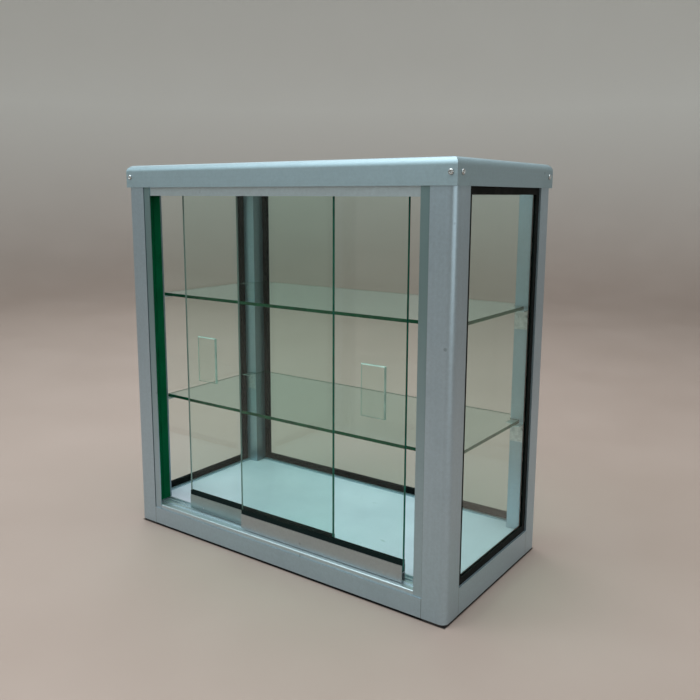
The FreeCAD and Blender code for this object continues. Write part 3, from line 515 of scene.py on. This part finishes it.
def cap_heads(bm):
    count = 0
    for side, x in ((-1, case_low.x), (1, case_high.x)):
        for end, y in ((-1, case_low.y), (1, case_high.y)):
            seats = (
                (Vector((x - side * FRONT_INSET, y, cap_screw_z)), (0, end, 0)),
                (Vector((x, y - end * SIDE_INSET, cap_screw_z)), (side, 0, 0)),
            )
            for seat, outward in seats:
                roll = FIRST_ROLL + NEXT_ROLL * count
                pan_head(bm, seat, outward, CAP_HEAD_RADIUS, CAP_HEAD_HEIGHT, roll)
                count += 1


new_piece("cap_screw_heads", cap_heads, "screw", "screw_steel", "cabinet", "cap_screws")

BRACKET_THICKNESS, BRACKET_BEND = 1.5 * MM, 1.6 * MM
BRACKET_SCREW_EDGE, BRACKET_SCREW_DROP = 4.0 * MM, 10.5 * MM
BRACKET_HEAD_RADIUS, BRACKET_HEAD_HEIGHT = 2.8 * MM, 1.6 * MM
BRACKET_REACH, BRACKET_WIDTH = 20.0 * MM, 22.0 * MM
ROUND_STEPS, TIGHT_STEPS = 6, 3


def bracket_spans(level):
    """Each of a shelf's brackets: x low, x high, y at its post, z low, z high, front or rear end."""
    low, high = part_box(f"shelf_brackets_{level}")
    for x_low, x_high in ((low.x, low.x + BRACKET_WIDTH), (high.x - BRACKET_WIDTH, high.x)):
        for end, y in ((-1, low.y), (1, high.y)):
            yield x_low, x_high, y, low.z, high.z, end


def extrude_outline(bm, outline, low, high, place):
    """A closed outline drawn twice, at low and high, and joined; place(across, up, along)."""
    first = [bm.verts.new(place(across, up, low)) for across, up in outline]
    last = [bm.verts.new(place(across, up, high)) for across, up in outline]
    count = len(outline)
    for index in range(count):
        after = (index + 1) % count
        bm.faces.new((first[index], first[after], last[after], last[index]))
    bm.faces.new(list(reversed(first)))
    bm.faces.new(last)


def arc(centre, radius, start, stop, steps):
    """Points of an arc, angles in degrees."""
    angles = [math.radians(start + (stop - start) * step / steps) for step in range(steps + 1)]
    return [(centre[0] + radius * math.cos(angle), centre[1] + radius * math.sin(angle))
            for angle in angles]


def brackets(level):
    """Bent plates with rounded ends, under one shelf."""
    def make(bm):
        thick, bend = BRACKET_THICKNESS, BRACKET_BEND
        for x_low, x_high, y, z_low, z_high, end in bracket_spans(level):
            tall = z_high - z_low
            outline = arc((bend, -bend), bend, 180, 90, ROUND_STEPS)
            outline += arc((BRACKET_REACH - thick / 2, -thick / 2), thick / 2, 90, -90, ROUND_STEPS)
            inner = bend - thick
            outline += arc((thick + inner, -thick - inner), inner, 90, 180, TIGHT_STEPS)
            outline += arc((thick / 2, -tall + thick / 2), thick / 2, 0, -180, ROUND_STEPS)
            extrude_outline(bm, outline, x_low, x_high,
                            lambda across, up, along: Vector((along, y - end * across, z_high + up)))
    return make


for level in ("lower", "upper"):
    new_piece(f"brackets_{level}", brackets(level), "bracket", "bracket_steel", "cabinet",
              f"shelf_brackets_{level}")


def bracket_heads(bm):
    count = 0
    for level in ("lower", "upper"):
        for x_low, x_high, y, _, z_high, end in bracket_spans(level):
            for x in (x_low + BRACKET_SCREW_EDGE, x_high - BRACKET_SCREW_EDGE):
                seat = Vector((x, y - end * BRACKET_THICKNESS, z_high - BRACKET_SCREW_DROP))
                roll = FIRST_ROLL + NEXT_ROLL * count
                pan_head(bm, seat, (0, -end, 0), BRACKET_HEAD_RADIUS, BRACKET_HEAD_HEIGHT, roll)
                count += 1


new_piece("bracket_screw_heads", bracket_heads, "bracket", "screw_steel", "cabinet", "bracket_screws")


BUFFER_BACKING, BUFFER_GROOVE = 0.5 * MM, 1.2 * MM
SAME_PLACE = 0.01 * MM


def buffer_strip(side):
    """Two soft lobes on a thin backing, over the width of the strip."""
    low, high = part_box(f"door_buffer_{side}")

    def make(bm):
        thick, width = high.x - low.x, high.y - low.y
        backing, groove = BUFFER_BACKING, BUFFER_GROOVE
        lobe = (width - groove) / 2
        soft = thick - backing
        outline = [(0.0, 0.0), (0.0, backing)]
        for start in (0.0, lobe + groove):
            outline += arc((start + soft, backing), soft, 180, 90, ROUND_STEPS)
            outline += arc((start + lobe - soft, backing), soft, 90, 0, ROUND_STEPS)
        outline += [(width, backing), (width, 0.0)]
        outward = 1 if side == "left" else -1
        root = low.x if side == "left" else high.x
        extrude_outline(bm, outline, low.z, high.z,
                        lambda across, up, along: Vector((root + outward * up, low.y + across, along)))
        bmesh.ops.remove_doubles(bm, verts=bm.verts, dist=SAME_PLACE)
    return make


PULL_GAP, PULL_BEVEL, PULL_BACK_BEVEL = 0.2 * MM, 1.3 * MM, 0.3 * MM


def pull_plate(side):
    """A bevelled glass plate a glue line's thickness off the door."""
    low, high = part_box(f"door_pull_{side}")

    def make(bm):
        back = high.y - PULL_GAP
        levels = ((back, PULL_BACK_BEVEL), (back - PULL_BACK_BEVEL, 0.0),
                  (low.y + PULL_BEVEL, 0.0), (low.y, PULL_BEVEL))
        rings = []
        for y, inset in levels:
            corners = ((low.x + inset, low.z + inset), (high.x - inset, low.z + inset),
                       (high.x - inset, high.z - inset), (low.x + inset, high.z - inset))
            rings.append([bm.verts.new(Vector((x, y, z))) for x, z in corners])
        for lower, upper in zip(rings, rings[1:]):
            for index in range(4):
                after = (index + 1) % 4
                bm.faces.new((lower[index], lower[after], upper[after], upper[index]))
        bm.faces.new(rings[0])
        bm.faces.new(rings[-1])
    return make


for side in ("left", "right"):
    new_piece(f"buffer_strip_{side}", buffer_strip(side), "buffer", "door_buffer", "cabinet",
              f"door_buffer_{side}")
    new_piece(f"pull_plate_{side}", pull_plate(side), "pull", "pull_glass", f"door_{side}",
              f"door_pull_{side}")


# ---------------------------------------------------------------- floor, light and camera

def studio_bowl(bm):
    """A round floor that curves up into a wall, so that no horizon shows from any side."""
    flat, bend, wall = 3.2, 1.6, 3.4
    flat_steps, bend_steps, spokes = 4, 10, 96
    profile = [(step * flat / flat_steps, 0.0) for step in range(1, flat_steps + 1)]
    for step in range(1, bend_steps + 1):
        angle = math.radians(90 * step / bend_steps)
        profile.append((flat + bend * math.sin(angle), bend - bend * math.cos(angle)))
    profile.append((flat + bend, bend + wall))
    centre = bm.verts.new((0, 0, 0))
    turns = [math.tau * spoke / spokes for spoke in range(spokes)]
    rings = [[bm.verts.new((reach * math.cos(turn), reach * math.sin(turn), height)) for turn in turns]
             for reach, height in profile]
    join_rings(bm, centre, rings)


floor_mesh = bpy.data.meshes.new("floor")
bowl = bmesh.new()
studio_bowl(bowl)
bowl.to_mesh(floor_mesh)
bowl.free()
floor_mesh.materials.append(pale_floor("floor_pale"))
floor = bpy.data.objects.new("floor", floor_mesh)
bpy.context.scene.collection.objects.link(floor)


def area_light(name, place, target, size, power, tint):
    """A rectangular lamp that doesn't show through the glass."""
    light = bpy.data.lights.new(name, "AREA")
    light.shape = "RECTANGLE"
    light.size, light.size_y = size
    light.energy = power
    light.color = tint
    lamp = bpy.data.objects.new(name, light)
    bpy.context.scene.collection.objects.link(lamp)
    lamp.visible_transmission = False
    lamp.location = place
    lamp.rotation_euler = (Vector(target) - Vector(place)).to_track_quat("-Z", "Y").to_euler()


MIDDLE, NEAR_CORNER = (0.0, 0.0, 0.3), (0.29, -0.14, 0.4)
LIGHTS = (      # name, place, target, size, watts, colour
    ("key", (-1.5, -2.0, 2.2), MIDDLE, (2.4, 1.8), 25.0, (0.82, 0.95, 1.0)),
    ("overhead", (0.0, -0.2, 2.6), MIDDLE, (2.8, 2.8), 68.0, (0.97, 0.99, 1.0)),
    ("corner", (2.3, -1.25, 0.75), NEAR_CORNER, (2.2, 1.2), 7.5, (0.90, 0.98, 1.0)),
    ("rear_left", (-2.4, 1.6, 1.9), MIDDLE, (1.6, 1.6), 11.0, (0.95, 1.0, 1.0)),
)
for light in LIGHTS:
    area_light(*light)

WORLD_TONE, WORLD_STRENGTH = (0.62, 0.66, 0.68), 0.75
world = bpy.data.worlds.new("studio")
bpy.context.scene.world = world
world.use_nodes = True
backdrop = world.node_tree.nodes["Background"]
backdrop.inputs["Color"].default_value = colour(*WORLD_TONE)
backdrop.inputs["Strength"].default_value = WORLD_STRENGTH

CAMERA_PLACE = (0.7481, -0.9950, 0.5646)
CAMERA_AZIMUTH, CAMERA_DROP, CAMERA_ROLL = (math.radians(angle) for angle in (35.732, 9.643, 0.218))
FOCAL_PIXELS, FRAME_PIXELS, SENSOR = 774.6, 700.0, 36.0
OPTICAL_X, OPTICAL_Y = 346.3, 328.8             # pixel that the camera's axis goes through
NEAREST, FARTHEST = 0.05, 60.0
lens = bpy.data.cameras.new("camera")
lens.sensor_width = SENSOR
lens.lens = FOCAL_PIXELS * SENSOR / FRAME_PIXELS
lens.shift_x = (FRAME_PIXELS / 2 - OPTICAL_X) / FRAME_PIXELS
lens.shift_y = (OPTICAL_Y - FRAME_PIXELS / 2) / FRAME_PIXELS
lens.clip_start, lens.clip_end = NEAREST, FARTHEST
camera = bpy.data.objects.new("camera", lens)
bpy.context.scene.collection.objects.link(camera)
forward = Vector((-math.sin(CAMERA_AZIMUTH) * math.cos(CAMERA_DROP),
                  math.cos(CAMERA_AZIMUTH) * math.cos(CAMERA_DROP), -math.sin(CAMERA_DROP)))
across = Vector((math.cos(CAMERA_AZIMUTH), math.sin(CAMERA_AZIMUTH), 0))
upright = across.cross(forward)
rolled_across = across * math.cos(CAMERA_ROLL) + upright * math.sin(CAMERA_ROLL)
rolled_up = upright * math.cos(CAMERA_ROLL) - across * math.sin(CAMERA_ROLL)
turn = Matrix((rolled_across, rolled_up, -forward)).transposed()
camera.matrix_world = Matrix.Translation(CAMERA_PLACE) @ turn.to_4x4()
bpy.context.scene.camera = camera
bpy.context.scene.view_settings.view_transform = "Standard"
